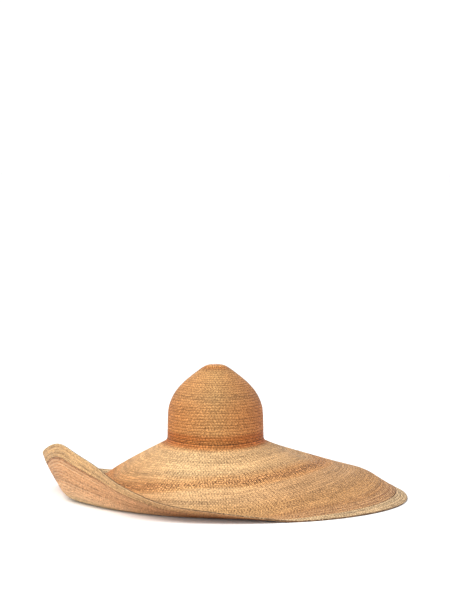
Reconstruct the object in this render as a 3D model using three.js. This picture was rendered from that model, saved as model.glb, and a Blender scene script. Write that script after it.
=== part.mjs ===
// Wide-brimmed sun hat of sewn straw braid, resting on a level surface.
// Millimetres, +Z up, +X to the right seen from the front, the front at -Y.
// The origin is the middle of the hat's box, on the surface that it rests on.
import * as THREE from 'three';

// Driving dimensions, worked out from an adult head of about 580 mm round.
const WALL = 2;                    // thickness of the sewn straw
const BAND_WALL = 3;               // thickness of the doubled braid at the rim
const BAND_WIDTH = 25;
const SEAM_GAP = 0.3;              // clearance between pieces that are sewn together
const JOINT_HALF_WIDTH = 92;       // outside of the crown where it meets the brim, left to right
const JOINT_HALF_DEPTH = 102;      // the same from front to back
const JOINT_HEIGHT = 107;          // top of the brim at the crown, over the surface
const JOINT_SADDLE = 5;            // how much lower the joint is at the front and back
const SADDLE_FADE = 40;            // height over the joint where the saddle has faded out
const FLOOR = 0;

// Facets.
const COLUMNS = 80;                // round the hat
const TIP_COLUMNS = 40;
const CROWN_ROWS = 11;
const BAND_ROWS = 3;
const BRIM_SHARES =              // rows of the brim, as shares of its width
  [0, 0.05, 0.13, 0.22, 0.32, 0.42, 0.51, 0.585, 0.645, 0.7, 0.75, 0.8, 0.85, 0.9, 0.95, 1];

// The brim, cut by upright planes through the crown's axis.
// azimuth: degrees from +X towards the back. joint to edge: how steeply the brim falls there,
// in degrees, at the share of its width that STATIONS gives, and a negative slope rises.
// width: along the straw, from the joint to the rim.
const STATIONS = [0, 1 / 6, 1 / 3, 1 / 2, 0.64, 0.77, 1];
const SECTION_COLUMNS =
  ['azimuth', 'joint', 'inner', 'middle', 'outer', 'turn', 'band', 'edge', 'width'];
const SECTIONS = [
  [0, 24, 24, 12, 12, 15, 34, 29, 293],
  [30, 27, 20, 21, 24, 20, 32, 25, 293],
  [60, 30, 23, 20, 20, 22, 24, 20, 293],
  [90, 29, 25, 22, 22, 20, 16, 12, 294],
  [120, 26, 25, 25, 27, 24, 1, -16, 297],
  [145, 25, 25, 28, 34, 15, -22, -39, 303],
  [165, 25, 26, 29, 39, 19, -43, -70, 316],
  [180, 26, 28, 34, 38, -9, -65, -90, 322.5],
  [195, 27, 31, 37, 35, -18, -83, -98, 331.5],
  [210, 28, 33, 38, 34, -16, -76, -96, 315.5],
  [225, 29, 34, 38, 38, -4, -62, -82, 303],
  [240, 30, 34, 37, 36, 6, -38, -54, 297],
  [255, 31, 33, 35, 33, 12, -18, -34, 293],
  [270, 31, 31, 32, 30, 12, -10, -26, 293],
  [285, 28, 29, 30, 27, 14, -2, -16, 293],
  [300, 24, 26, 26, 25, 20, 12, 2, 293],
  [330, 21, 18, 22, 22, 25, 24, 17, 293],
];
const STEPS_ACROSS = 72;           // steps that a section is summed in
const MOST_TURN = 0.6;             // radians that a section may turn to reach the surface
const HALVINGS = 40;

// The crown's outside, from the joint to the rim of its tip, and then the tip's, which is a
// low coil with a flat middle.
const OUTLINE_COLUMNS = ['height', 'halfWidth'];
const CROWN_OUTLINE = [
  [SEAM_GAP, 92], [10, 91.4], [30, 91], [55, 90], [70, 87], [85, 80.5],
  [97, 72.5], [110, 60.5], [122, 46.5], [133.5, 31.5], [139.2, 23],
];
const TIP_OUTLINE = [[142.4, 16], [144, 8], [144, 0]];

const STRAW = { color: 0xd9a56b, roughness: 0.85, metalness: 0 };
const EDGE_STRAW = { color: 0xd2a070, roughness: 0.85, metalness: 0 };

const radians = THREE.MathUtils.degToRad;

const named = (columns, rows) =>
  rows.map((row) => Object.fromEntries(columns.map((column, i) => [column, row[i]])));

const sections = named(SECTION_COLUMNS, SECTIONS);

// Value of a smooth curve that passes b at 0 and c at 1, between the neighbours a and d.
function smoothBetween(a, b, c, d, spans, share) {
  const startTangent = ((c - b + (b - a)) / (spans.before + spans.here)) * spans.here;
  const endTangent = ((d - c + (c - b)) / (spans.here + spans.after)) * spans.here;
  const s2 = share * share;
  const s3 = s2 * share;
  return (2 * s3 - 3 * s2 + 1) * b + (s3 - 2 * s2 + share) * startTangent
    + (3 * s2 - 2 * s3) * c + (s3 - s2) * endTangent;
}

// The table's row at any azimuth, blended from the four rows round it.
function tableRowAt(azimuth) {
  const count = sections.length;
  const at = (i) => {
    const turns = Math.floor(i / count);
    const row = sections[i - turns * count];
    return { ...row, azimuth: row.azimuth + 360 * turns };
  };
  const wrapped = THREE.MathUtils.euclideanModulo(azimuth, 360);
  const first = sections.findLastIndex((row) => row.azimuth <= wrapped);
  const [a, b, c, d] = [-1, 0, 1, 2].map((step) => at(first + step));
  const spans = {
    before: b.azimuth - a.azimuth, here: c.azimuth - b.azimuth, after: d.azimuth - c.azimuth,
  };
  const share = (wrapped - b.azimuth) / spans.here;
  const blended = SECTION_COLUMNS.map((column) =>
    [column, smoothBetween(a[column], b[column], c[column], d[column], spans, share)]);
  return Object.fromEntries(blended);
}

// Slope at a share of the width, straight between the stations.
function slopeAt(row, share) {
  const slopes = SECTION_COLUMNS.slice(1, 1 + STATIONS.length).map((column) => row[column]);
  const next = STATIONS.findIndex((station) => station > share);
  const part = (share - STATIONS[next - 1]) / (STATIONS[next] - STATIONS[next - 1]);
  return radians(THREE.MathUtils.lerp(slopes[next - 1], slopes[next], part));
}

const saddleAt = (azimuth) => -JOINT_SADDLE * Math.sin(azimuth) ** 2;

// The brim's underside at one azimuth: how far out and how high it is at each step across.
// The whole section turns about the joint until its lowest point is on the surface.
function brimSection(azimuth) {
  const row = tableRowAt(THREE.MathUtils.radToDeg(azimuth));
  const step = row.width / STEPS_ACROSS;
  const trace = (turn) => {
    const points = [{ out: 0, height: JOINT_HEIGHT - WALL + saddleAt(azimuth), slope: 0 }];
    for (let i = 0; i < STEPS_ACROSS; i += 1) {
      const slope = slopeAt(row, (i + 0.5) / STEPS_ACROSS) + turn;
      const last = points[i];
      points.push({
        out: last.out + step * Math.cos(slope),
        height: last.height - step * Math.sin(slope),
        slope,
      });
    }
    points[0].slope = points[1].slope;
    return points;
  };
  let [low, high] = [-MOST_TURN, MOST_TURN];
  for (let i = 0; i < HALVINGS; i += 1) {
    const middle = (low + high) / 2;
    const lowest = Math.min(...trace(middle).map((point) => point.height));
    if (lowest > FLOOR) low = middle;
    else high = middle;
  }
  return { points: trace((low + high) / 2), width: row.width, step };
}

// Point of the brim: across is the distance from the joint along the straw, over is the
// distance from the underside. Inside the joint the brim is level, where the crown stands.
function brimPoint(section, azimuth, across, over) {
  const share = Math.max(across, 0) / section.step;
  const index = Math.min(Math.floor(share), STEPS_ACROSS - 1);
  const [from, to] = [section.points[index], section.points[index + 1]];
  const part = share - index;
  const slope = across < 0 ? 0 : THREE.MathUtils.lerp(from.slope, to.slope, part);
  const out = Math.min(across, 0) + THREE.MathUtils.lerp(from.out, to.out, part)
    + over * Math.sin(slope);
  const height = THREE.MathUtils.lerp(from.height, to.height, part) + over * Math.cos(slope);
  return new THREE.Vector3(
    (JOINT_HALF_WIDTH + out) * Math.cos(azimuth),
    (JOINT_HALF_DEPTH + out) * Math.sin(azimuth),
    height,
  );
}

// Spins a closed outline of pairs about +Z, as a ring of facets, and puts the vertex of each
// pair at each azimuth where place says.
function spun(outline, columns, place) {
  const profile = outline.map(([first, second]) => new THREE.Vector2(first, second));
  const geometry = new THREE.LatheGeometry(profile, columns);
  const position = geometry.getAttribute('position');
  for (let i = 0; i < position.count; i += 1) {
    const column = Math.floor(i / outline.length) % columns;
    const azimuth = (column / columns) * 2 * Math.PI - Math.PI / 2;
    position.setXYZ(i, ...place(azimuth, ...outline[i % outline.length]));
  }
  geometry.computeVertexNormals();
  return geometry;
}

const straightSteps = (from, to, count) =>
  Array.from({ length: count + 1 }, (_, i) => THREE.MathUtils.lerp(from, to, i / count));

// A ring of the brim's straw, from low to high over the brim's underside. A row of it is a
// share of the ring's own width, so that the ring keeps to the brim where the brim is wider,
// or where negative a distance inside the joint.
function brimRing(rows, innerEdge, outerEdge, low, high) {
  const sectionsByAzimuth = new Map();
  const place = (azimuth, row, over) => {
    if (!sectionsByAzimuth.has(azimuth)) sectionsByAzimuth.set(azimuth, brimSection(azimuth));
    const section = sectionsByAzimuth.get(azimuth);
    const across = row < 0 ? row
      : THREE.MathUtils.lerp(innerEdge(section), outerEdge(section), row);
    return brimPoint(section, azimuth, across, over);
  };
  const under = rows.map((row) => [row, low]);
  const top = rows.map((row) => [row, high]).reverse();
  return spun([...under, ...top, under[0]], COLUMNS, place);
}

function brim() {
  return brimRing([-WALL, ...BRIM_SHARES], () => 0,
    (section) => section.width - BAND_WIDTH - SEAM_GAP, 0, WALL);
}

function edgeBand() {
  const extra = (BAND_WALL - WALL) / 2;
  return brimRing(straightSteps(0, 1, BAND_ROWS), (section) => section.width - BAND_WIDTH,
    (section) => section.width, -extra, WALL + extra);
}

// Oval place of a crown point, with the saddle of the joint fading out up the wall.
function crownPoint(azimuth, radius, height) {
  const fade = Math.max(1 - height / SADDLE_FADE, 0);
  return new THREE.Vector3(
    radius * Math.cos(azimuth),
    radius * Math.sin(azimuth) * (JOINT_HALF_DEPTH / JOINT_HALF_WIDTH),
    JOINT_HEIGHT + height + saddleAt(azimuth) * fade,
  );
}

// The outline moved inwards by the wall's thickness, square to the outline, with the foot
// cut level and the middle of the tip left flat.
function insideOf(outline) {
  const top = outline[outline.length - 1][1];
  return outline.map(([radius, height], i) => {
    if (i === 0) return [radius - WALL, height];
    const before = outline[i - 1];
    const after = outline[Math.min(i + 1, outline.length - 1)];
    const along = new THREE.Vector2(after[0] - before[0], after[1] - before[1]).normalize();
    return [radius - WALL * along.y, Math.min(height + WALL * along.x, top - WALL)];
  });
}

const outlineOf = (rows) =>
  named(OUTLINE_COLUMNS, rows).map(({ height, halfWidth }) => [halfWidth, height]);

// The whole dome, outside and inside, with the tip's rim at row CROWN_ROWS of both.
function domeOutlines() {
  const knots = outlineOf(CROWN_OUTLINE).map(([x, y]) => new THREE.Vector2(x, y));
  const wall = new THREE.SplineCurve(knots).getSpacedPoints(CROWN_ROWS);
  const outside = [...wall.map((point) => [point.x, point.y]), ...outlineOf(TIP_OUTLINE)];
  return { outside, inside: insideOf(outside) };
}

function crown() {
  const { outside, inside } = domeOutlines();
  const outer = outside.slice(0, CROWN_ROWS + 1);
  const inner = inside.slice(0, CROWN_ROWS + 1).reverse();
  return spun([...outer, ...inner, outer[0]], COLUMNS, crownPoint);
}

// The tip starts a seam's clearance further up the dome than the crown ends.
function crownTip() {
  const { outside, inside } = domeOutlines();
  const [outer, inner] = [outside, inside].map((outline) => {
    const [rim, next, ...rest] = outline.slice(CROWN_ROWS);
    const share = SEAM_GAP / Math.hypot(next[0] - rim[0], next[1] - rim[1]);
    const start = rim.map((value, i) => THREE.MathUtils.lerp(value, next[i], share));
    return [start, next, ...rest];
  });
  return spun([...inner.reverse(), ...outer], TIP_COLUMNS, crownPoint);
}

const hat = new THREE.Group();

function add(name, geometry, finish) {
  const mesh = new THREE.Mesh(geometry, new THREE.MeshStandardMaterial(finish));
  mesh.name = name;
  hat.add(mesh);
}

add('crown_tip', crownTip(), STRAW);
add('crown', crown(), STRAW);
add('brim', brim(), STRAW);
add('brim_edge_band', edgeBand(), EDGE_STRAW);

const box = new THREE.Box3().setFromObject(hat);
const centre = box.getCenter(new THREE.Vector3());
hat.position.set(-centre.x, -centre.y, -box.min.z);

export default hat;
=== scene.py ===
"""A wide-brimmed sun hat of sewn straw braid, resting on a pale floor.

Metres, +Z up, +X to the right seen from the front, the front at -Y. The braid is sewn in rows,
from a coil on top of the crown out to the rim, and each piece of the hat is a stretch of it.
"""

import logging
import math
from dataclasses import dataclass, field
from enum import Enum
from typing import NamedTuple

import bmesh
import bpy
import numpy as np
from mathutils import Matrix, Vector


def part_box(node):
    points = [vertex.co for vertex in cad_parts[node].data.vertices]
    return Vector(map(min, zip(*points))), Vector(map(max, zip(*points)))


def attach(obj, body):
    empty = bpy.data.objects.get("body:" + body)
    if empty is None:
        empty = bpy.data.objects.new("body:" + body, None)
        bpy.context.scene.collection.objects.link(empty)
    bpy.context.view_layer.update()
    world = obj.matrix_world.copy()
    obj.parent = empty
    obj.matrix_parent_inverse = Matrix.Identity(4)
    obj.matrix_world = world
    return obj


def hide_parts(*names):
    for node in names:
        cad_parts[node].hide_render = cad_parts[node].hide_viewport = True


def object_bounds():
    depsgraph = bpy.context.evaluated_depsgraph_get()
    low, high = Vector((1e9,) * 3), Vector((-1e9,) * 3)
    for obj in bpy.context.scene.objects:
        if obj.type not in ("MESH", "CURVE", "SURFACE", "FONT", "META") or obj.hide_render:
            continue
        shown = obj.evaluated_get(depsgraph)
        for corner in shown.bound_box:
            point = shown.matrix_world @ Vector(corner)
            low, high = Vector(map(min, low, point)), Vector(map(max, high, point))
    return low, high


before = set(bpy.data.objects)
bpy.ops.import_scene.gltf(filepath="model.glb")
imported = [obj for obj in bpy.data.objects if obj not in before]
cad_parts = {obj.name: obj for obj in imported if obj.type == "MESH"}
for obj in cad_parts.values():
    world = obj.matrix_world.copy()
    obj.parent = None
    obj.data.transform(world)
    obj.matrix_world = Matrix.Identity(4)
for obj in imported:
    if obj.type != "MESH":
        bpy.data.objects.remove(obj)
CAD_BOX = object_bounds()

log = logging.getLogger("sun_hat")

MM = 0.001
FULL_TURN = 2 * math.pi

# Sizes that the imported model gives.
CROWN_LOW, CROWN_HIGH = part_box("crown")
BRIM_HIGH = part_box("brim")[1]
AXIS_X = (CROWN_LOW.x + CROWN_HIGH.x) / 2
AXIS_Y = (CROWN_LOW.y + CROWN_HIGH.y) / 2
JOINT_HALF_WIDTH = (CROWN_HIGH.x - CROWN_LOW.x) / 2
JOINT_HALF_DEPTH = (CROWN_HIGH.y - CROWN_LOW.y) / 2
JOINT_TOP = BRIM_HIGH.z

# Driving sizes, the same as the solids'.
WALL = 2 * MM
BAND_WALL = 3 * MM
BAND_WIDTH = 25 * MM
JOINT_HEIGHT = 107 * MM  # over the lowest point of the brim's underside
JOINT_SADDLE = 5 * MM
SADDLE_FADE = 40 * MM
RESTING_HEIGHT = JOINT_TOP - JOINT_HEIGHT  # of the brim's underside, over the floor

# The braid.
ROW_WIDTH = 5.36 * MM
PLAIT_CELL = 3.1 * MM  # from one crossing of the straws to the next, along the row
PLAIT_SHIFT = 0.55  # crossings that each row lies further round than the one before
HAIRLINE = 0.05 * MM  # between two pieces that are sewn together
WELD = 0.01 * MM
ROW_DEPTH = 0.55 * MM  # from a row's crest down to the seam beside it
ROW_CREST = 0.12 * MM
ROW_LEAN = 0.3  # share of a row's height that is missing at its inner edge
ROW_EASE = 0.12  # how far cuts are drawn towards the seams, in rows
ROW_DRIFT = 0.07  # how far a hand-sewn row strays across, in rows
WALL_DRIFT = 0.14 * MM  # how far it stands out or in
BAND_DRIFT = 0.1 * MM
CROWN_PHASE = 31.0  # so that the crown's rows stray in another way than the brim's


class Section(NamedTuple):
    """A cut of the brim by an upright plane through the crown's axis.

    azimuth is in degrees from +X towards the back. joint to edge say how steeply the brim falls
    there, in degrees, at the share of its width that STATIONS gives. A negative slope rises.
    width is measured along the straw, in millimetres.
    """

    azimuth: float
    joint: float
    inner: float
    middle: float
    outer: float
    turn: float
    band: float
    edge: float
    width: float


class Ring(NamedTuple):
    """A level of the dome's outside, by its height over the joint and half its width, in mm."""

    height: float
    half_width: float


STATIONS = (0, 1 / 6, 1 / 3, 1 / 2, 0.64, 0.77, 1)
SECTIONS = tuple(Section(*row) for row in (
    (0, 24, 24, 12, 12, 15, 34, 29, 293),
    (30, 27, 20, 21, 24, 20, 32, 25, 293),
    (60, 30, 23, 20, 20, 22, 24, 20, 293),
    (90, 29, 25, 22, 22, 20, 16, 12, 294),
    (120, 26, 25, 25, 27, 24, 1, -16, 297),
    (145, 25, 25, 28, 34, 15, -22, -39, 303),
    (165, 25, 26, 29, 39, 19, -43, -70, 316),
    (180, 26, 28, 34, 38, -9, -65, -90, 322.5),
    (195, 27, 31, 37, 35, -18, -83, -98, 331.5),
    (210, 28, 33, 38, 34, -16, -76, -96, 315.5),
    (225, 29, 34, 38, 38, -4, -62, -82, 303),
    (240, 30, 34, 37, 36, 6, -38, -54, 297),
    (255, 31, 33, 35, 33, 12, -18, -34, 293),
    (270, 31, 31, 32, 30, 12, -10, -26, 293),
    (285, 28, 29, 30, 27, 14, -2, -16, 293),
    (300, 24, 26, 26, 25, 20, 12, 2, 293),
    (330, 21, 18, 22, 22, 25, 24, 17, 293),
))
STEPS_ACROSS = 288
MOST_TURN = 0.6
HALVINGS = 40

# The dome from the middle of its tip down to the joint.
TIP_OUTLINE = tuple(Ring(*row) for row in ((144, 0), (144, 8), (142.4, 16), (139.2, 23)))
CROWN_OUTLINE = tuple(Ring(*row) for row in (
    (133.5, 31.5), (122, 46.5), (110, 60.5), (97, 72.5), (85, 80.5), (70, 87),
    (55, 90), (30, 91), (10, 91.4), (0.3, 92),
))
SAMPLES_PER_SPAN = 40

# The photograph's frame and what it shows of the hat.
FRAME_WIDTH = 450
FRAME_HEIGHT = 600
JOINT_PIXEL = (215.5, 440.0)  # where the middle of the joint lies
PIXEL_AT_JOINT = 1.9 * MM
CAMERA_DISTANCE = 4.5
CAMERA_ELEVATION = math.radians(6.5)
SENSOR = 36.0  # millimetres along the frame's height
DAYLIGHT = 0.66  # what the straw keeps of a screen colour, since the studio is brighter than 1

Colour = tuple[float, float, float, float]
Stops = tuple[tuple[float, Colour], ...]


def straw(red: int, green: int, blue: int, speckle: float = 0.5) -> Colour:
    """A shader colour from a colour as a screen shows it in the studio.

    Args:
        red, green, blue: screen levels, 0 to 255.
        speckle: how much the straws differ where the colour is used, 0 to 1.

    Returns:
        The linear colour, with the speckle as its alpha.
    """
    levels = []
    for level in (red, green, blue):
        share = level / 255
        linear = share / 12.92 if share <= 0.04045 else ((share + 0.055) / 1.055) ** 2.4
        levels.append(linear * DAYLIGHT)
    return (levels[0], levels[1], levels[2], speckle)


def between(low: np.ndarray, high: np.ndarray, share: np.ndarray) -> np.ndarray:
    """The value at a share of the way from low to high."""
    return low + (high - low) * share


def saddle(azimuth: np.ndarray) -> np.ndarray:
    """How much lower the joint is at each azimuth, as the front and back of a head are."""
    return -JOINT_SADDLE * np.sin(azimuth) ** 2


class Side(Enum):
    """Which face of the straw a cut belongs to, as a share of its thickness."""

    INSIDE = 0.0
    OUTSIDE = 1.0


@dataclass
class BrimForm:
    """The brim's underside, worked out from the sections, at evenly spaced azimuths.

    Attributes:
        columns: number of azimuths.
    """

    columns: int
    azimuths: np.ndarray = field(init=False)
    widths: np.ndarray = field(init=False)
    out: np.ndarray = field(init=False)
    height: np.ndarray = field(init=False)
    slope: np.ndarray = field(init=False)

    def __post_init__(self) -> None:
        """Turns every section about the joint until its lowest point rests."""
        self.azimuths = np.arange(self.columns) * FULL_TURN / self.columns
        rows = self._blended_rows()
        self.widths = rows[:, -1] * MM
        middles = (np.arange(STEPS_ACROSS) + 0.5) / STEPS_ACROSS
        slopes = np.radians([np.interp(middles, STATIONS, row[:-1]) for row in rows])
        low = np.full(self.columns, -MOST_TURN)
        high = np.full(self.columns, MOST_TURN)
        for _ in range(HALVINGS):
            turn = (low + high) / 2
            clear = self._heights(slopes + turn[:, None]).min(axis=1) > 0
            low = np.where(clear, turn, low)
            high = np.where(clear, high, turn)
        slopes += ((low + high) / 2)[:, None]
        steps = np.cos(slopes) * (self.widths / STEPS_ACROSS)[:, None]
        start = np.zeros((self.columns, 1))
        self.out = np.hstack([start, np.cumsum(steps, axis=1)])
        self.height = self._heights(slopes)
        self.slope = np.hstack([slopes[:, :1], slopes])

    def _blended_rows(self) -> np.ndarray:
        """The table's columns after azimuth, at every azimuth, smoothly blended.

        Returns:
            One line for each azimuth.
        """
        table = np.array(SECTIONS, float)
        turns = [table + np.array([turn * 360.0] + [0.0] * (table.shape[1] - 1))
                 for turn in (-1, 0, 1)]
        knots = np.vstack(turns)
        degrees = np.degrees(self.azimuths)
        first = np.searchsorted(knots[:, 0], degrees, side="right") - 1
        a, b, c, d = (knots[first + step] for step in (-1, 0, 1, 2))
        here = (c - b)[:, :1]
        s = (degrees - b[:, 0])[:, None] / here
        start = (c - a) / (c - a)[:, :1] * here
        end = (d - b) / (d - b)[:, :1] * here
        blended = ((2 * s**3 - 3 * s**2 + 1) * b + (s**3 - 2 * s**2 + s) * start
                   + (3 * s**2 - 2 * s**3) * c + (s**3 - s**2) * end)
        return blended[:, 1:]

    def _heights(self, slopes: np.ndarray) -> np.ndarray:
        """Height of each section at each step, over the brim's lowest point.

        Args:
            slopes: radians between one step and the next.

        Returns:
            One line for each azimuth, one value more than slopes has.
        """
        steps = np.sin(slopes) * (self.widths / STEPS_ACROSS)[:, None]
        start = (JOINT_HEIGHT - WALL + saddle(self.azimuths))[:, None]
        return np.hstack([start, start - np.cumsum(steps, axis=1)])

    def place(self, column: np.ndarray, across: np.ndarray, over: np.ndarray) -> np.ndarray:
        """Points of the brim.

        Args:
            column: number of each point's azimuth.
            across: distance from the joint along the straw, negative under the crown.
            over: distance from the underside.

        Returns:
            The points in the row frame.
        """
        reach = np.maximum(across, 0) / (self.widths[column] / STEPS_ACROSS)
        index = np.minimum(reach.astype(int), STEPS_ACROSS - 1)
        part = reach - index
        out, height, slope = (between(values[column, index], values[column, index + 1], part)
                              for values in (self.out, self.height, self.slope))
        slope = np.where(across < 0, 0.0, slope)
        out = out + np.minimum(across, 0) + over * np.sin(slope)
        azimuth = self.azimuths[column]
        return np.stack([
            AXIS_X + (JOINT_HALF_WIDTH + out) * np.cos(azimuth),
            AXIS_Y + (JOINT_HALF_DEPTH + out) * np.sin(azimuth),
            RESTING_HEIGHT + height + over * np.cos(slope),
        ], axis=-1)


@dataclass
class DomeForm:
    """The crown's outside as one smooth outline, turned round the hat's axis.

    Attributes:
        run: distance along the outline from the middle of the tip, at each sample.
        tip_run: the run at the rim of the tip.
    """

    run: np.ndarray = field(init=False)
    points: np.ndarray = field(init=False)
    normals: np.ndarray = field(init=False)
    tip_run: float = field(init=False)

    def __post_init__(self) -> None:
        """Samples the outline closely and measures along it."""
        knots = np.array(TIP_OUTLINE + CROWN_OUTLINE, float)[:, ::-1] * MM
        padded = np.vstack([knots[:1] * [-1, 1], knots, knots[-1:]])
        shares = (np.arange(SAMPLES_PER_SPAN) / SAMPLES_PER_SPAN)[:, None]
        spans = [self._span(*padded[i:i + 4], shares) for i in range(len(knots) - 1)]
        self.points = np.vstack([*spans, knots[-1:]])
        steps = np.hypot(*np.diff(self.points, axis=0).T)
        self.run = np.concatenate([[0.0], np.cumsum(steps)])
        self.tip_run = float(self.run[SAMPLES_PER_SPAN * (len(TIP_OUTLINE) - 1)])
        along = np.gradient(self.points, self.run, axis=0)
        self.normals = np.stack([-along[:, 1], along[:, 0]], axis=-1)

    @staticmethod
    def _span(a: np.ndarray, b: np.ndarray, c: np.ndarray, d: np.ndarray,
              s: np.ndarray) -> np.ndarray:
        """Points of the smooth curve from b to c.

        Args:
            a, b, c, d: four knots one after the other.
            s: shares of the way from b to c.

        Returns:
            One point for each share.
        """
        start = (c - a) / 2
        end = (d - b) / 2
        return ((2 * b - 2 * c + start + end) * s**3
                + (3 * c - 3 * b - 2 * start - end) * s**2 + start * s + b)

    def place(self, azimuth: np.ndarray, run: np.ndarray, over: np.ndarray) -> np.ndarray:
        """Points of the dome.

        Args:
            azimuth: radians.
            run: distance from the middle of the tip along the outline.
            over: distance out from the outline.

        Returns:
            The points in the row frame.
        """
        radius, height = (
            np.interp(run, self.run, self.points[:, i])
            + over * np.interp(run, self.run, self.normals[:, i]) for i in (0, 1)
        )
        fade = np.maximum(1 - height / SADDLE_FADE, 0)
        return np.stack([
            AXIS_X + radius * np.cos(azimuth),
            AXIS_Y + radius * np.sin(azimuth) * (JOINT_HALF_DEPTH / JOINT_HALF_WIDTH),
            JOINT_TOP + height + saddle(azimuth) * fade,
        ], axis=-1)


class Signal:
    """A shader value that Python's arithmetic works on. Each operation adds a Math node."""

    def __init__(self, wiring: "Wiring", socket: bpy.types.NodeSocket) -> None:
        """Wraps an output socket."""
        self.wiring = wiring
        self.socket = socket

    def __add__(self, other: "Signal | float") -> "Signal":
        """self + other."""
        return self.wiring.maths("ADD", self, other)

    __radd__ = __add__

    def __sub__(self, other: "Signal | float") -> "Signal":
        """self - other."""
        return self.wiring.maths("SUBTRACT", self, other)

    def __rsub__(self, other: float) -> "Signal":
        """other - self."""
        return self.wiring.maths("SUBTRACT", other, self)

    def __mul__(self, other: "Signal | float") -> "Signal":
        """self * other."""
        return self.wiring.maths("MULTIPLY", self, other)

    __rmul__ = __mul__

    def __truediv__(self, other: "Signal | float") -> "Signal":
        """self / other."""
        return self.wiring.maths("DIVIDE", self, other)

    def __pow__(self, other: float) -> "Signal":
        """self to a power."""
        return self.wiring.maths("POWER", self, other)

    def __abs__(self) -> "Signal":
        """Size of self without its sign."""
        return self.wiring.maths("ABSOLUTE", self)

    def floor(self) -> "Signal":
        """The whole number below."""
        return self.wiring.maths("FLOOR", self)

    def part(self) -> "Signal":
        """What is left over the whole number below."""
        return self.wiring.maths("FRACT", self)

    def arch(self) -> "Signal":
        """0 at each whole number and 1 halfway between two."""
        return abs(self.wiring.maths("SINE", self * math.pi))

    def held(self) -> "Signal":
        """Kept between 0 and 1."""
        return self.wiring.node("ShaderNodeClamp", inputs={"Value": self})


Input = Signal | float | Colour | tuple[float, float, float]


class Wiring:
    """Adds nodes to one material and links them."""

    def __init__(self, name: str) -> None:
        """Makes an empty material of that name."""
        self.material = bpy.data.materials.new(name)
        self.material.use_nodes = True
        self.tree = self.material.node_tree
        self.tree.nodes.clear()

    def node(self, kind: str, settings: dict[str, object] | None = None,
             inputs: dict[str | int, Input] | None = None, output: str | int = 0) -> Signal:
        """Adds a node.

        Args:
            kind: Blender's name of the node type.
            settings: its own settings, set first. A ramp's stops are given as "stops".
            inputs: values or links of its sockets, by name or number.
            output: the output that is wanted, by name or number.

        Returns:
            That output.
        """
        made = self.tree.nodes.new(kind)
        for key, value in (settings or {}).items():
            if key == "stops":
                self._set_stops(made.color_ramp, value)
            else:
                setattr(made, key, value)
        for key, value in (inputs or {}).items():
            if isinstance(value, Signal):
                self.tree.links.new(value.socket, made.inputs[key])
            else:
                made.inputs[key].default_value = value
        return Signal(self, made.outputs[output]) if len(made.outputs) else Signal(self, None)

    @staticmethod
    def _set_stops(ramp: bpy.types.ColorRamp, stops: Stops) -> None:
        """Gives a ramp its stops.

        Args:
            ramp: a new ramp, which has two stops.
            stops: places from 0 to 1, each with its colour.
        """
        while len(ramp.elements) < len(stops):
            ramp.elements.new(1.0)
        for element, (place, colour) in zip(ramp.elements, stops):
            element.position = place
            element.color = colour

    def maths(self, operation: str, *values: Input) -> Signal:
        """A Math node on these values."""
        return self.node("ShaderNodeMath", {"operation": operation}, dict(enumerate(values)))

    def vector(self, x: Input, y: Input, z: Input = 0.0) -> Signal:
        """Three values as one vector."""
        return self.node("ShaderNodeCombineXYZ", inputs={0: x, 1: y, 2: z})

    def mapped(self, name: str) -> tuple[Signal, Signal]:
        """The two values of a UV map.

        Args:
            name: the map's name.

        Returns:
            Its first and its second value.
        """
        read = self.node("ShaderNodeUVMap", {"uv_map": name})
        split = self.node("ShaderNodeSeparateXYZ", inputs={0: read})
        return split, self.beside(split, 1)

    def beside(self, signal: Signal, output: str | int) -> Signal:
        """Another output of the node that a signal comes from."""
        return Signal(self, signal.socket.node.outputs[output])

    def mixed(self, share: Input, first: Input, second: Input) -> Signal:
        """A colour between first and second."""
        return self.node("ShaderNodeMix", {"data_type": "RGBA"}, {0: share, 6: first, 7: second}, 2)

    def scaled(self, colour: Signal, factor: Input) -> Signal:
        """A colour made lighter or darker."""
        return self.node("ShaderNodeVectorMath", {"operation": "SCALE"},
                         {0: colour, "Scale": factor})

    def chance(self, *values: Input) -> Signal:
        """A fixed random value from 0 to 1 for each set of whole numbers."""
        return self.node("ShaderNodeTexWhiteNoise", {"noise_dimensions": "3D"},
                         {"Vector": self.vector(*values)})

    def cloud(self, place: Signal, scale: float, detail: float, fourth: Input) -> Signal:
        """Soft noise from 0 to 1.

        Args:
            place: where it is read.
            scale: how many clouds there are in one unit.
            detail: octaves of finer noise.
            fourth: a fourth coordinate, such as a row's number.

        Returns:
            The noise.
        """
        return self.node("ShaderNodeTexNoise", {"noise_dimensions": "4D"},
                         {"Vector": place, "W": fourth, "Scale": scale, "Detail": detail})


# How the braid looks.
STRAW_CROSSINGS = 2.0  # across one row
PLAIT_RELIEF = 0.5 * MM
TONE_DRIFT = 0.04
# The straws that lean one way are painted lighter than those that lean the other, a painted sheen.
WEAVE_SHEEN = 0.5  # how much the straws that lean one way differ from those that lean the other
CHANCE = 0.55
DOTS = 0.22
GLINT = 0.18
GAP_SHADE = 0.85
CROSSING_POWER = 0.6  # lower powers make flatter straws
END_POWER = 0.5
BODY_FLOOR = 0.55  # height of a straw at its ends, as a share of its middle's
FIBRES = (5.0, 0.6)  # across and along one straw
FIBRE_TONE = 0.12
SEAM_CHANCE = 1.3  # a higher power leaves fewer dark seams
SEAM_PATCHES = 22.0  # noise for each metre
SEAM_GAIN = 4.0
SEAM_OFFSET = 1.4
ROW_PATCHES = 16.0
BROAD_PATCHES = 7.0
ROW_JUMP = (3.7, 5.3, 0.12)  # how far apart two rows lie in each of those noises
ROW_TONE = 0.5
ROW_RUN_TONE = 1.6
ROUGHNESS_SPREAD = 0.16
BUMP_STRENGTH = 0.6
STRAW_HEIGHT = 0.8  # shares of the bump's relief
FIBRE_HEIGHT = 0.16
SEAM_HEIGHT = 0.5


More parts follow.
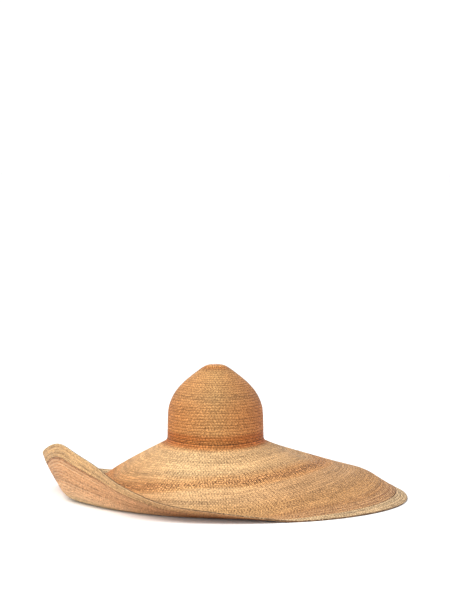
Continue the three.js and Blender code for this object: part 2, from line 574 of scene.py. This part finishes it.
@dataclass(frozen=True)
class BraidFinish:
    """Straw braid, as it looks on one piece.

    Attributes:
        name: of the material.
        tones: colours from the piece's inner edge at 0, over its outside to its outer edge at
            0.5, and back over its inside to 1.
        tints: how the outside's tones drift, as colours that they are multiplied by, from the
            hat's left at 0 to its right; on the crown and brim partly painted shade.
        under_tints: the same for the inside; on the brim and band painted light and shade.
        contrast: how much the straws differ from each other.
        seam_shade: how dark the seams between rows are.
        seam_least: how dark even the palest seam is, as a share of that.
        seam_share: how wide a seam is on each row, as a share of the row.
        inside_seams: share of the seams' shade that the inside has.
        plaits: lines of dots that a row shows from afar.
        seed: another one gives other straws and rows.
        streak: how much the rows differ from each other and along their length.
        lean: how much further out the outside's tones lie on the hat's left and right.
        roughness: of the straws, on average.
    """

    name: str
    tones: Stops
    tints: Stops
    under_tints: Stops
    contrast: float = 1.0
    seam_shade: float = 0.6
    seam_least: float = 0.15
    seam_share: float = 0.14
    inside_seams: float = 1.0
    plaits: int = 1
    seed: float = 3.0
    streak: float = 0.3
    lean: float = 0.0
    roughness: float = 0.66

    def material(self) -> bpy.types.Material:
        """Makes the material.

        Returns:
            The finished material.
        """
        nodes = Wiring(self.name)
        along, across = nodes.mapped("braid")
        _, share = nodes.mapped("lay")
        row = across.floor()
        phase = across.part()
        place = nodes.node("ShaderNodeTexCoord", output="Object")
        rightwards = nodes.node("ShaderNodeSeparateXYZ", inputs={0: place})

        # Straws lean both ways, and each crossing shows the one that lies over the other.
        leaning = along + phase * STRAW_CROSSINGS
        counter = along - phase * STRAW_CROSSINGS
        first = leaning.floor()
        second = counter.floor()
        over = ((first + second) * 0.5).part() * 2
        chance = nodes.chance(first, second, row + self.seed)
        crossing = leaning.arch() * over + counter.arch() * (1 - over)
        ends = counter.arch() * over + leaning.arch() * (1 - over)
        body = crossing ** CROSSING_POWER * (
            BODY_FLOOR + (1 - BODY_FLOOR) * ends ** END_POWER)

        # Fine fibres run along each straw.
        side = leaning * over + counter * (1 - over)
        run = counter * over + leaning * (1 - over)
        fibre = nodes.node("ShaderNodeTexNoise", {"noise_dimensions": "3D"}, {
            "Vector": nodes.vector(side * FIBRES[0], run * FIBRES[1], row), "Scale": 1.0,
            "Detail": 1.0})

        # A seam lies where two rows meet, sunk and now and then dark.
        edge = nodes.maths("MINIMUM", phase, 1 - phase)
        seam = (1 - edge / self.seam_share).held()
        stitched = (across + 0.5).floor()
        strength = nodes.chance(stitched, self.seed, 1.0) ** SEAM_CHANCE
        patches = nodes.cloud(place, SEAM_PATCHES, 1.0, stitched * ROW_JUMP[0])
        patchy = (patches * SEAM_GAIN - SEAM_OFFSET).held()
        dark = seam * (self.seam_least + (1 - self.seam_least) * strength * patchy)

        # Rows differ, along their length too, and broad bands of the straw are darker or paler.
        row_tone = nodes.chance(row, self.seed, 2.0)
        row_run = nodes.cloud(place, ROW_PATCHES, 2.0, row * ROW_JUMP[1])
        broad = nodes.cloud(place, BROAD_PATCHES, 2.0, across * ROW_JUMP[2])
        from_edge = nodes.maths("MINIMUM", share, abs(1 - share))
        from_left = (rightwards - CAD_BOX[0][0]) / (CAD_BOX[1][0] - CAD_BOX[0][0])
        inside = nodes.maths("GREATER_THAN", share, 1.0)
        sideways = abs(from_left - 0.5) * (1 - inside)
        moved = (broad - 0.5) * TONE_DRIFT - sideways * self.lean
        looked_up = share * 0.5 + moved * (from_edge * 5.0).held()
        tones = nodes.node("ShaderNodeValToRGB", {"stops": self.tones}, {"Fac": looked_up.held()})
        speckle = nodes.beside(tones, "Alpha") * (2 * self.contrast)
        # The tints also carry painted shade and light. The outside is darker on the hat's right.
        # The insides are paler under the curl and darker from the middle rightwards.
        outside, under = (
            nodes.node("ShaderNodeValToRGB", {"stops": stops}, {"Fac": from_left})
            for stops in (self.tints, self.under_tints))
        tints = nodes.mixed(inside, outside, under)
        colour = nodes.node("ShaderNodeVectorMath", {"operation": "MULTIPLY"}, {0: tones, 1: tints})

        # Every other straw of every other row lies higher, which shows as dots from afar: painted
        # lighter where it lies high and painted shade where it lies low. The straws that lie over
        # get a painted sheen, and a few straws a painted glint.
        line = (across * self.plaits).floor()
        dots = nodes.maths("SINE", (along + line) * math.pi) * (across * self.plaits).arch()
        glint = ((chance - 0.75) * 4.0).held()
        tone = (1 + speckle * (WEAVE_SHEEN * (over - 0.5) + CHANCE * (chance - 0.5) + DOTS * dots
                               + GLINT * glint)
                + self.streak * (row_tone - 0.5) * ROW_TONE
                + self.streak * (row_run - 0.5) * ROW_RUN_TONE + FIBRE_TONE * (fibre - 0.5))
        colour = nodes.scaled(colour, tone)
        # Painted shade darkens the hollows between the straws.
        painted_gap_shade = ((1 - body).held() ** 2 * speckle).held()
        colour = nodes.mixed(painted_gap_shade * GAP_SHADE, colour, GAP_SHADE_BROWN)
        shade = self.seam_shade * (1 - (1 - self.inside_seams) * inside)
        colour = nodes.mixed(dark * shade, colour, nodes.mixed(inside, SEAM_BROWN, SEAM_PALE))

        relief = body * STRAW_HEIGHT + fibre * FIBRE_HEIGHT - seam * SEAM_HEIGHT
        bump = nodes.node("ShaderNodeBump", inputs={
            "Strength": BUMP_STRENGTH, "Distance": PLAIT_RELIEF, "Height": relief})
        surface = nodes.node("ShaderNodeBsdfPrincipled", inputs={
            "Base Color": colour, "Roughness": self.roughness + (0.5 - chance) * ROUGHNESS_SPREAD,
            "Normal": bump, "Specular IOR Level": 0.2})
        nodes.node("ShaderNodeOutputMaterial", inputs={"Surface": surface})
        return nodes.material


SEAM_BROWN = straw(86, 50, 26)
SEAM_PALE = straw(255, 224, 178)
# Painted shade in the hollows between the straws.
GAP_SHADE_BROWN = straw(104, 58, 28)

RED_BROWN = straw(213, 146, 84, 0.75)
JOIN_BROWN = straw(146, 98, 60, 1.0)
DEEP_ORANGE = straw(214, 142, 82)
ORANGE = straw(228, 154, 84)
WARM = straw(236, 180, 120)
HIGH_WARM = straw(236, 184, 128)
YELLOW = straw(243, 202, 150, 0.4)
SOFT_YELLOW = straw(236, 192, 141, 0.4)
TAN = straw(230, 176, 120)
HATCHED = straw(236, 186, 127, 0.5)
OUTER_HATCHED = straw(222, 170, 114, 0.55)
EDGE_HATCHED = straw(240, 192, 140, 0.55)
RING_BROWN = straw(168, 116, 70, 0.9)
ARC = straw(226, 172, 116, 1.0)
DARK_ARC = straw(214, 158, 104, 1.0)
GREY_TAN = straw(217, 172, 122)
BAND_TAN = straw(250, 212, 160, 0.55)
BAND_UNDER = straw(218, 172, 122)
PINK_TAN = straw(226, 178, 132)
CURL_TAN = straw(206, 152, 104)
# Paler straw under the brim's belly, partly painted light standing in for light thrown up from the
# floor.
BELLY_AND_BOUNCE_LIGHT = straw(250, 214, 158)
ROLL = straw(240, 200, 150)

# The straw is more orange on the hat's left. On the crown and the brim's outside it is palest in
# the middle and duller and darker on the right. The darker right is partly painted shade, for the
# side turned from the key light.
EVEN_TINTS = ((0.0, (1.0, 1.0, 1.0, 1.0)), (1.0, (1.0, 1.0, 1.0, 1.0)))
CROWN_TINTS_AND_SHADE = (
    (0.35, (0.9, 0.65, 0.42, 1.0)), (0.48, (0.85, 0.8, 0.65, 1.0)), (0.6, (0.9, 0.6, 0.4, 1.0)))
BRIM_TINTS_AND_SHADE = (
    (0.2, (1.0, 0.8, 0.6, 1.0)), (0.4, (1.05, 1.05, 1.0, 1.0)), (0.7, (0.9, 0.8, 0.7, 1.0)))
# Painted light and shade on the insides. The brim's inside is paler on the left, under the curl, as
# if lit from the floor. Both insides turn dark red-brown from the middle rightwards, as painted
# shade for where the brim's front nears the floor.
BRIM_UNDER_LIGHT_AND_SHADE = ((0.25, (1.1, 1.1, 1.1, 1.0)), (0.5, (0.75, 0.55, 0.4, 1.0)))
BAND_UNDER_SHADE = ((0.25, (1.0, 1.0, 0.9, 1.0)), (0.5, (0.75, 0.55, 0.4, 1.0)))

TIP_FINISH = BraidFinish("tip_straw", (
    (0.0, straw(238, 176, 150)), (0.14, straw(236, 176, 146)), (0.22, WARM), (0.42, ORANGE),
    (0.5, RED_BROWN), (0.52, TAN), (1.0, TAN)), EVEN_TINTS, EVEN_TINTS,
    contrast=1.2, plaits=2)
CROWN_FINISH = BraidFinish("crown_straw", (
    (0.0, DEEP_ORANGE), (0.03, HIGH_WARM), (0.15, HIGH_WARM), (0.23, GREY_TAN), (0.3, TAN),
    (0.43, TAN), (0.455, DEEP_ORANGE), (0.47, RED_BROWN), (0.484, RED_BROWN), (0.493, DEEP_ORANGE),
    (0.5, WARM),
    (0.54, TAN), (1.0, TAN)), CROWN_TINTS_AND_SHADE, EVEN_TINTS, contrast=1.15,
    seam_shade=1.0, seam_least=0.4, seam_share=0.18, plaits=2, seed=9.0)
BRIM_FINISH = BraidFinish("brim_straw", (
    (0.0, RED_BROWN), (0.014, DEEP_ORANGE), (0.019, WARM), (0.034, YELLOW), (0.13, YELLOW),
    (0.164, WARM), (0.172, ARC), (0.181, DARK_ARC), (0.189, ARC), (0.199, WARM),
    (0.216, SOFT_YELLOW), (0.27, SOFT_YELLOW), (0.33, HATCHED), (0.38, HATCHED),
    (0.41, OUTER_HATCHED), (0.448, EDGE_HATCHED), (0.454, RING_BROWN), (0.459, EDGE_HATCHED),
    (0.474, EDGE_HATCHED), (0.478, RING_BROWN), (0.483, EDGE_HATCHED), (0.497, EDGE_HATCHED),
    (0.499, JOIN_BROWN), (0.5025, JOIN_BROWN), (0.505, CURL_TAN), (0.56, CURL_TAN),
    (0.6, PINK_TAN), (0.64, BELLY_AND_BOUNCE_LIGHT), (0.8, BELLY_AND_BOUNCE_LIGHT), (1.0, TAN)),
    BRIM_TINTS_AND_SHADE, BRIM_UNDER_LIGHT_AND_SHADE, contrast=1.5, seam_shade=0.75, seam_least=0.35,
    streak=0.55, lean=0.17)
BAND_FINISH = BraidFinish("edge_band_straw", (
    (0.0, JOIN_BROWN), (0.02, JOIN_BROWN), (0.03, BAND_TAN), (0.39, BAND_TAN), (0.42, ROLL),
    (0.56, ROLL), (0.6, BAND_UNDER), (0.98, BAND_UNDER), (1.0, JOIN_BROWN)), EVEN_TINTS,
    BAND_UNDER_SHADE, contrast=1.6, seam_shade=1.0, seam_least=0.35, seam_share=0.3,
    inside_seams=0.4, streak=0.7)


def sort_faces(shape: bmesh.types.BMesh) -> None:
    """Orders the faces by their first two corners, as the spin's own order varies between runs.

    Args:
        shape: a closed form with all its faces pointing out, so that no two share both corners.
    """
    shape.verts.index_update()
    count = len(shape.verts)
    shape.faces.sort(key=lambda face: face.verts[0].index * count + face.verts[1].index)


@dataclass
class BraidPiece:
    """A stretch of the sewn braid, as a closed wall with an outside, an inside and two ends.

    The wall is spun flat first, with one unit of radius for each row and one of height for its
    thickness. Then each of its points goes to its place on the hat.

    Attributes:
        name: of the Blender object.
        node: the CAD node that it stands for.
        slot: the record's material slot; not used.
        finish: its straw.
        columns: facets round the hat.
        first_row, last_row: numbers of the rows' edges where it starts and ends.
        outside_cuts, inside_cuts: facets across each row.
        end_cuts: facets across its outer end.
    """

    name: str
    node: str
    slot: str
    finish: BraidFinish
    columns: int
    first_row: int
    last_row: int
    outside_cuts: int = 4
    inside_cuts: int = 3
    end_cuts: int = 1

    HUB = 20.0

    def spun_flat(self) -> bpy.types.Mesh:
        """Spins the wall's section, a rectangle cut for every row, into a flat ring.

        Returns:
            The ring, its faces pointing out.
        """
        shape = bmesh.new()
        rows = self.last_row - self.first_row
        inner = self.HUB + self.first_row
        outer = self.HUB + self.last_row
        low, high = Side.INSIDE.value, Side.OUTSIDE.value
        corners = [shape.verts.new((radius, 0.0, height)) for radius, height in
                   ((inner, low), (outer, low), (outer, high), (inner, high))]
        edges = [shape.edges.new((corners[i - 1], corners[i])) for i in (1, 2, 3, 0)]
        for edge, facets in zip(edges, (rows * self.inside_cuts, self.end_cuts,
                                        rows * self.outside_cuts)):
            if facets > 1:
                bmesh.ops.bisect_edges(shape, edges=[edge], cuts=facets - 1)
        bmesh.ops.spin(shape, geom=shape.verts[:] + shape.edges[:], cent=(0, 0, 0),
                       axis=(0, 0, 1), dvec=(0, 0, 0), angle=FULL_TURN, steps=self.columns,
                       use_merge=True)
        bmesh.ops.remove_doubles(shape, verts=shape.verts[:], dist=1e-4)
        bmesh.ops.recalc_face_normals(shape, faces=shape.faces[:])
        sort_faces(shape)
        flat = bpy.data.meshes.new(self.name)
        shape.to_mesh(flat)
        shape.free()
        return flat

    def place(self, column: np.ndarray, row: np.ndarray, side: np.ndarray) -> np.ndarray:
        """Points of the piece.

        Args:
            column: number of each point's azimuth.
            row: the row's number, with its fraction the share of its width.
            side: share of the wall's thickness, 0 inside and 1 outside.

        Returns:
            The points in the row frame.
        """
        raise NotImplementedError

    def row_number(self, turn: np.ndarray, row: np.ndarray) -> np.ndarray:
        """The row as the braid counts it, at a share of a turn round the hat."""
        return row

    def build(self) -> bpy.types.Object:
        """Makes the piece and puts it on the frame.

        Returns:
            Its object.
        """
        mesh = self.spun_flat()
        count = len(mesh.vertices)
        flat = np.empty(count * 3, np.float32)
        mesh.vertices.foreach_get("co", flat)
        x, y, side = flat.reshape(-1, 3).astype(float).T
        turn = np.arctan2(y, x) / FULL_TURN
        column = np.rint(turn * self.columns).astype(int) % self.columns
        cuts = np.where(side > 0.5, self.outside_cuts, self.inside_cuts)
        row = np.rint((np.hypot(x, y) - self.HUB) * cuts) / cuts
        eased = row - ROW_EASE * np.sin(FULL_TURN * row) * (cuts > 2)
        points = self.place(column, eased, side)
        points[:, 2] = np.maximum(points[:, 2], 0.0)
        mesh.vertices.foreach_set("co", points.astype(np.float32).ravel())
        self.map_braid(mesh, column, eased, side)
        mesh.shade_smooth()
        mesh.update()
        shown = bpy.data.objects.new(self.name, mesh)
        bpy.context.scene.collection.objects.link(shown)
        shown.data.materials.append(self.finish.material())
        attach(shown, "root")
        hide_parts(self.node)
        log.info("%s: %d triangles, finish %s", self.name,
                 sum(len(face.vertices) - 2 for face in mesh.polygons), self.finish.name)
        return shown

    def map_braid(self, mesh: bpy.types.Mesh, column: np.ndarray, row: np.ndarray,
                  side: np.ndarray) -> None:
        """Writes two UV maps: "braid" in crossings along and rows across, and "lay" in turns
        round the hat and, across, 0 to 1 over the outside and on to 2 over the inside.

        Args:
            mesh: the piece's mesh, all of quads.
            column, row, side: of each vertex.
        """
        corners = np.empty(len(mesh.loops), np.int32)
        mesh.loops.foreach_get("vertex_index", corners)
        corners = corners.reshape(-1, 4)
        columns = column[corners].astype(float)
        wraps = np.ptp(columns, axis=1) > self.columns / 2
        columns += self.columns * (wraps[:, None] & (columns < self.columns / 2))
        turns = columns / self.columns
        rows = row[corners]
        counted = self.row_number(turns, rows)
        numbers = np.clip(np.floor(counted.mean(axis=1)), self.first_row, self.last_row - 1)
        crossings = {number: self.crossings_in(number + 0.5) for number in np.unique(numbers)}
        cells = np.array([crossings[number] for number in numbers])[:, None]
        phase = np.array([number * PLAIT_SHIFT for number in numbers])[:, None]
        share = (rows - self.first_row) / (self.last_row - self.first_row)
        across = np.where(side[corners] > 0.5, share, 2 - share)
        maps = {"braid": (turns * cells + phase, counted), "lay": (turns, across)}
        for name, (u, v) in maps.items():
            layer = mesh.uv_layers.new(name=name)
            pairs = np.stack([u, v], axis=-1).astype(np.float32)
            layer.data.foreach_set("uv", pairs.ravel())

    def crossings_in(self, row: float) -> int:
        """Number of crossings in one turn of a row, by its length round the hat.

        Args:
            row: the row's number with its fraction.

        Returns:
            The number, a whole one.
        """
        columns = np.arange(self.columns)
        ring = self.place(columns, np.full(self.columns, row), np.ones(self.columns))
        length = np.linalg.norm(ring - np.roll(ring, 1, axis=0), axis=1).sum()
        return max(1, round(length / PLAIT_CELL))


def row_relief(row: np.ndarray) -> np.ndarray:
    """Height of the braid's rows, 0 at the seams and up to 1, fuller at a row's outer edge.

    Args:
        row: the row's number with its fraction.

    Returns:
        The height as a share.
    """
    phase = row - np.floor(row)
    pillow = np.sqrt(np.abs(np.sin(np.pi * phase)))
    return pillow * (1 - ROW_LEAN + ROW_LEAN * phase)


def hand_drift(azimuth: np.ndarray, row: np.ndarray) -> np.ndarray:
    """Slow drift of a hand-sewn row along its length, from -1 to 1, the same on each run.

    Args:
        azimuth: radians.
        row: the row's number with its fraction.

    Returns:
        The drift.
    """
    waves = ((3, 1.9, 0.4), (5, -2.7, 0.3), (9, 3.3, 0.2), (14, -4.1, 0.1))
    return sum(size * np.sin(count * azimuth + step * row) for count, step, size in waves)


def thickness(row: np.ndarray, side: np.ndarray, wall: float, depth: float) -> np.ndarray:
    """How far a point stands over the inside of the wall.

    Args:
        row: the row's number with its fraction.
        side: share of the thickness.
        wall: the wall's thickness.
        depth: of the seams.

    Returns:
        The distance.
    """
    sunk = (1 - row_relief(row)) * depth
    return between(sunk, wall + ROW_CREST - sunk, side)


@dataclass
class Brim(BraidPiece):
    """The brim, from a level shelf under the crown out to the edge band."""

    form: BrimForm = None
    drift: float = WALL_DRIFT

    def place(self, column: np.ndarray, row: np.ndarray, side: np.ndarray) -> np.ndarray:
        """Points of the brim.

        Args:
            column, row, side: as in BraidPiece.place.

        Returns:
            The points in the row frame.
        """
        width = self.form.widths[column] - BAND_WIDTH - HAIRLINE
        drift = hand_drift(self.form.azimuths[column], row)
        ends = np.clip(np.minimum(row, self.last_row - row), 0, 1)
        moved = row + ROW_DRIFT * drift * ends
        across = np.where(row < 0, row * WALL, moved / self.last_row * width)
        over = thickness(row, side, WALL, ROW_DEPTH) + self.drift * drift * ends
        over = np.where(row < 0, side * (WALL - ROW_DEPTH), over)
        return self.form.place(column, across, over)


@dataclass
class EdgeBand(BraidPiece):
    """The doubled braid at the rim, which ends in a rounded roll."""

    form: BrimForm = None
    roll_radius: float = 1.6 * MM
    roll_start: float = math.radians(150)
    roll_end: float = math.radians(36)
    seam_depth: float = 0.8 * MM

    def place(self, column: np.ndarray, row: np.ndarray, side: np.ndarray) -> np.ndarray:
        """Points of the band.

        Args:
            column, row, side: as in BraidPiece.place.

        Returns:
            The points in the row frame.
        """
        extra = (BAND_WALL - WALL) / 2
        width = self.form.widths[column]
        roll_row = self.last_row - 1
        roll_middle = width - self.roll_radius
        start = roll_middle + self.roll_radius * math.cos(self.roll_start)
        across = between(width - BAND_WIDTH, start, row / roll_row)
        over = thickness(row, side, BAND_WALL, self.seam_depth) - extra
        share = np.clip(row - roll_row, 0, 1)
        sweep = between(self.roll_start, self.roll_end, share) * (2 * side - 1)
        rolled = row >= roll_row
        across = np.where(rolled, roll_middle + self.roll_radius * np.cos(sweep), across)
        over = np.where(rolled, WALL / 2 + self.roll_radius * np.sin(sweep), over)
        drift = hand_drift(self.form.azimuths[column], row)
        return self.form.place(column, across, over + BAND_DRIFT * drift)


@dataclass
class Crown(BraidPiece):
    """The crown, from the rim of its tip down to the joint, where it turns out on the brim."""

    form: DomeForm = None
    brim_form: BrimForm = None
    foot_run: float = 5 * MM
    foot_reach: float = 3 * MM
    drift: float = WALL_DRIFT

    def place(self, column: np.ndarray, row: np.ndarray, side: np.ndarray) -> np.ndarray:
        """Points of the crown.

        Args:
            column, row, side: as in BraidPiece.place.

        Returns:
            The points in the row frame.
        """
        azimuth = column * FULL_TURN / self.columns
        length = self.form.run[-1] - self.form.tip_run
        drift = hand_drift(azimuth, row + CROWN_PHASE)
        ends = np.clip(np.minimum(row, self.last_row - row), 0, 1)
        moved = (row + ROW_DRIFT * drift * ends) / self.last_row
        run = self.form.tip_run + HAIRLINE + moved * (length - HAIRLINE)
        over = thickness(row, side, WALL, ROW_DEPTH) - WALL + self.drift * drift * ends
        wall = self.form.place(azimuth, run, over)
        return self._turned_out(column, row, side, wall)

    def _turned_out(self, column: np.ndarray, row: np.ndarray, side: np.ndarray,
                    wall: np.ndarray) -> np.ndarray:
        """Bends the outside of the foot round onto the brim.

        Args:
            column, row, side: of each point.
            wall: the points before that.

        Returns:
            The points after it.
        """
        length = self.form.run[-1] - self.form.tip_run
        left = (1 - row / self.last_row) * length
        share = np.clip(left / self.foot_run, 0, 1)[:, None]
        zero = np.zeros_like(row)
        azimuth = column * FULL_TURN / self.columns
        foot = self.brim_form.place(column, zero + self.foot_reach, zero + WALL + 0.1 * MM)
        corner = self.brim_form.place(column, zero, zero + WALL)
        above = self.form.place(azimuth, zero + self.form.run[-1] - self.foot_run, zero)
        bend = (1 - share)**2 * foot + 2 * share * (1 - share) * corner + share**2 * above
        proud = thickness(row, np.ones_like(row), WALL, ROW_DEPTH) - WALL
        outward = np.stack([np.cos(azimuth), np.sin(azimuth), zero + 0.6], axis=-1)
        bend = bend + outward * (proud * share[:, 0])[:, None]
        bent = (side > 0.5) & (left < self.foot_run)
        return np.where(bent[:, None], bend, wall)


@dataclass
class CrownTip(BraidPiece):
    """The coil that the braid starts with, on top of the crown."""

    form: DomeForm = None
    turns: float = 4.5

    def row_number(self, turn: np.ndarray, row: np.ndarray) -> np.ndarray:
        """The row as the braid counts it, which winds out by one row in each turn."""
        return row * self.turns / self.last_row - turn

    def place(self, column: np.ndarray, row: np.ndarray, side: np.ndarray) -> np.ndarray:
        """Points of the tip.

        Args:
            column, row, side: as in BraidPiece.place.

        Returns:
            The points in the row frame.
        """
        azimuth = column * FULL_TURN / self.columns
        run = row / self.last_row * self.form.tip_run
        coil = self.row_number(column / self.columns, row)
        rim = np.clip((self.last_row - row) * 2, 0, 1)
        relief = np.minimum(row_relief(coil), rim)
        sunk = (1 - relief) * ROW_DEPTH
        over = between(sunk, WALL + ROW_CREST - sunk, side) - WALL
        return self.form.place(azimuth, run, over)

    def build(self) -> bpy.types.Object:
        """Makes the tip and closes its middle, where the ring's inner end meets itself.

        Returns:
            Its object.
        """
        shown = super().build()
        shape = bmesh.new()
        shape.from_mesh(shown.data)
        bmesh.ops.remove_doubles(shape, verts=shape.verts[:], dist=WELD)
        bmesh.ops.dissolve_degenerate(shape, edges=shape.edges[:], dist=WELD)
        bmesh.ops.recalc_face_normals(shape, faces=shape.faces[:])
        sort_faces(shape)
        shape.to_mesh(shown.data)
        shape.free()
        return shown


@dataclass
class Studio:
    """A pale floor, soft light and the camera at the photograph's angle."""

    floor_size: float = 1600.0
    floor_colour: Colour = (0.94, 0.94, 0.94, 1.0)
    sky: float = 1.08
    key_power: float = 100.0
    key_size: float = 2.6
    key_place: tuple[float, float, float] = (-2.2, -1.4, 3.2)
    fill_power: float = 75.0
    fill_size: float = 2.0
    fill_place: tuple[float, float, float] = (-1.2, -3.4, 0.35)

    def build(self) -> None:
        """Makes the floor, the lights and the camera."""
        self._floor()
        self._sky()
        self._lamp("key", self.key_power, self.key_size, self.key_place)
        self._lamp("fill", self.fill_power, self.fill_size, self.fill_place)
        self._camera()
        bpy.context.scene.view_settings.view_transform = "Standard"

    def _floor(self) -> None:
        """The floor that the hat rests on."""
        shape = bmesh.new()
        bmesh.ops.create_grid(shape, x_segments=1, y_segments=1, size=self.floor_size / 2)
        mesh = bpy.data.meshes.new("floor")
        shape.to_mesh(mesh)
        shape.free()
        floor = bpy.data.objects.new("floor", mesh)
        bpy.context.scene.collection.objects.link(floor)
        nodes = Wiring("floor_paint")
        surface = nodes.node("ShaderNodeBsdfPrincipled", inputs={
            "Base Color": self.floor_colour, "Roughness": 0.9, "Specular IOR Level": 0.1})
        nodes.node("ShaderNodeOutputMaterial", inputs={"Surface": surface})
        mesh.materials.append(nodes.material)

    def _sky(self) -> None:
        """Even white light from all round."""
        world = bpy.data.worlds.new("studio")
        world.use_nodes = True
        background = world.node_tree.nodes["Background"]
        background.inputs["Color"].default_value = (1.0, 1.0, 1.0, 1.0)
        background.inputs["Strength"].default_value = self.sky
        bpy.context.scene.world = world

    def _lamp(self, name: str, power: float, size: float,
              place: tuple[float, float, float]) -> None:
        """A soft square light that faces the hat.

        Args:
            name: of the light.
            power: watts.
            size: of its sides.
            place: where it stands.
        """
        data = bpy.data.lights.new(name, "AREA")
        data.energy = power
        data.size = size
        lamp = bpy.data.objects.new(name, data)
        lamp.location = place
        towards = Vector((AXIS_X, AXIS_Y, JOINT_TOP)) - Vector(place)
        lamp.rotation_euler = towards.to_track_quat("-Z", "Y").to_euler()
        bpy.context.scene.collection.objects.link(lamp)

    def _camera(self) -> None:
        """A long lens that is aimed so that the joint lies where the photograph has it."""
        right = (FRAME_WIDTH / 2 - JOINT_PIXEL[0]) * PIXEL_AT_JOINT
        below = math.atan((JOINT_PIXEL[1] - FRAME_HEIGHT / 2) * PIXEL_AT_JOINT / CAMERA_DISTANCE)
        pitch = CAMERA_ELEVATION - below
        depth = CAMERA_DISTANCE * math.cos(below)
        data = bpy.data.cameras.new("camera")
        data.sensor_width = SENSOR
        data.lens = SENSOR * (depth / PIXEL_AT_JOINT) / FRAME_HEIGHT
        camera = bpy.data.objects.new("camera", data)
        camera.location = (
            AXIS_X + right,
            AXIS_Y - CAMERA_DISTANCE * math.cos(CAMERA_ELEVATION),
            JOINT_TOP + CAMERA_DISTANCE * math.sin(CAMERA_ELEVATION),
        )
        camera.rotation_euler = (math.pi / 2 - pitch, 0.0, 0.0)
        bpy.context.scene.collection.objects.link(camera)
        bpy.context.scene.camera = camera


def main() -> None:
    """Builds the hat from the tip of its crown to its rim, then the studio."""
    logging.basicConfig(level=logging.INFO, format="%(message)s")
    brim_form = BrimForm(256)
    rim_form = BrimForm(384)
    dome = DomeForm()
    crown_rows = round((dome.run[-1] - dome.tip_run) / ROW_WIDTH)
    brim_rows = round((float(brim_form.widths.min()) - BAND_WIDTH) / ROW_WIDTH)
    pieces = (
        CrownTip("crown_tip_coil", "crown_tip", "straw", TIP_FINISH, 128, 0, 5,
                 outside_cuts=8, inside_cuts=8, form=dome),
        Crown("crown_straw", "crown", "straw", CROWN_FINISH, 256, 0, crown_rows,
              form=dome, brim_form=brim_form),
        Brim("brim_straw", "brim", "straw", BRIM_FINISH, 256, -1, brim_rows, form=brim_form),
        EdgeBand("edge_band_straw", "brim_edge_band", "edge_straw", BAND_FINISH, 384, 0, 5,
                 inside_cuts=4, end_cuts=6, form=rim_form),
    )
    for piece in pieces:
        piece.build()
    Studio().build()


if __name__ == "__main__":
    main()
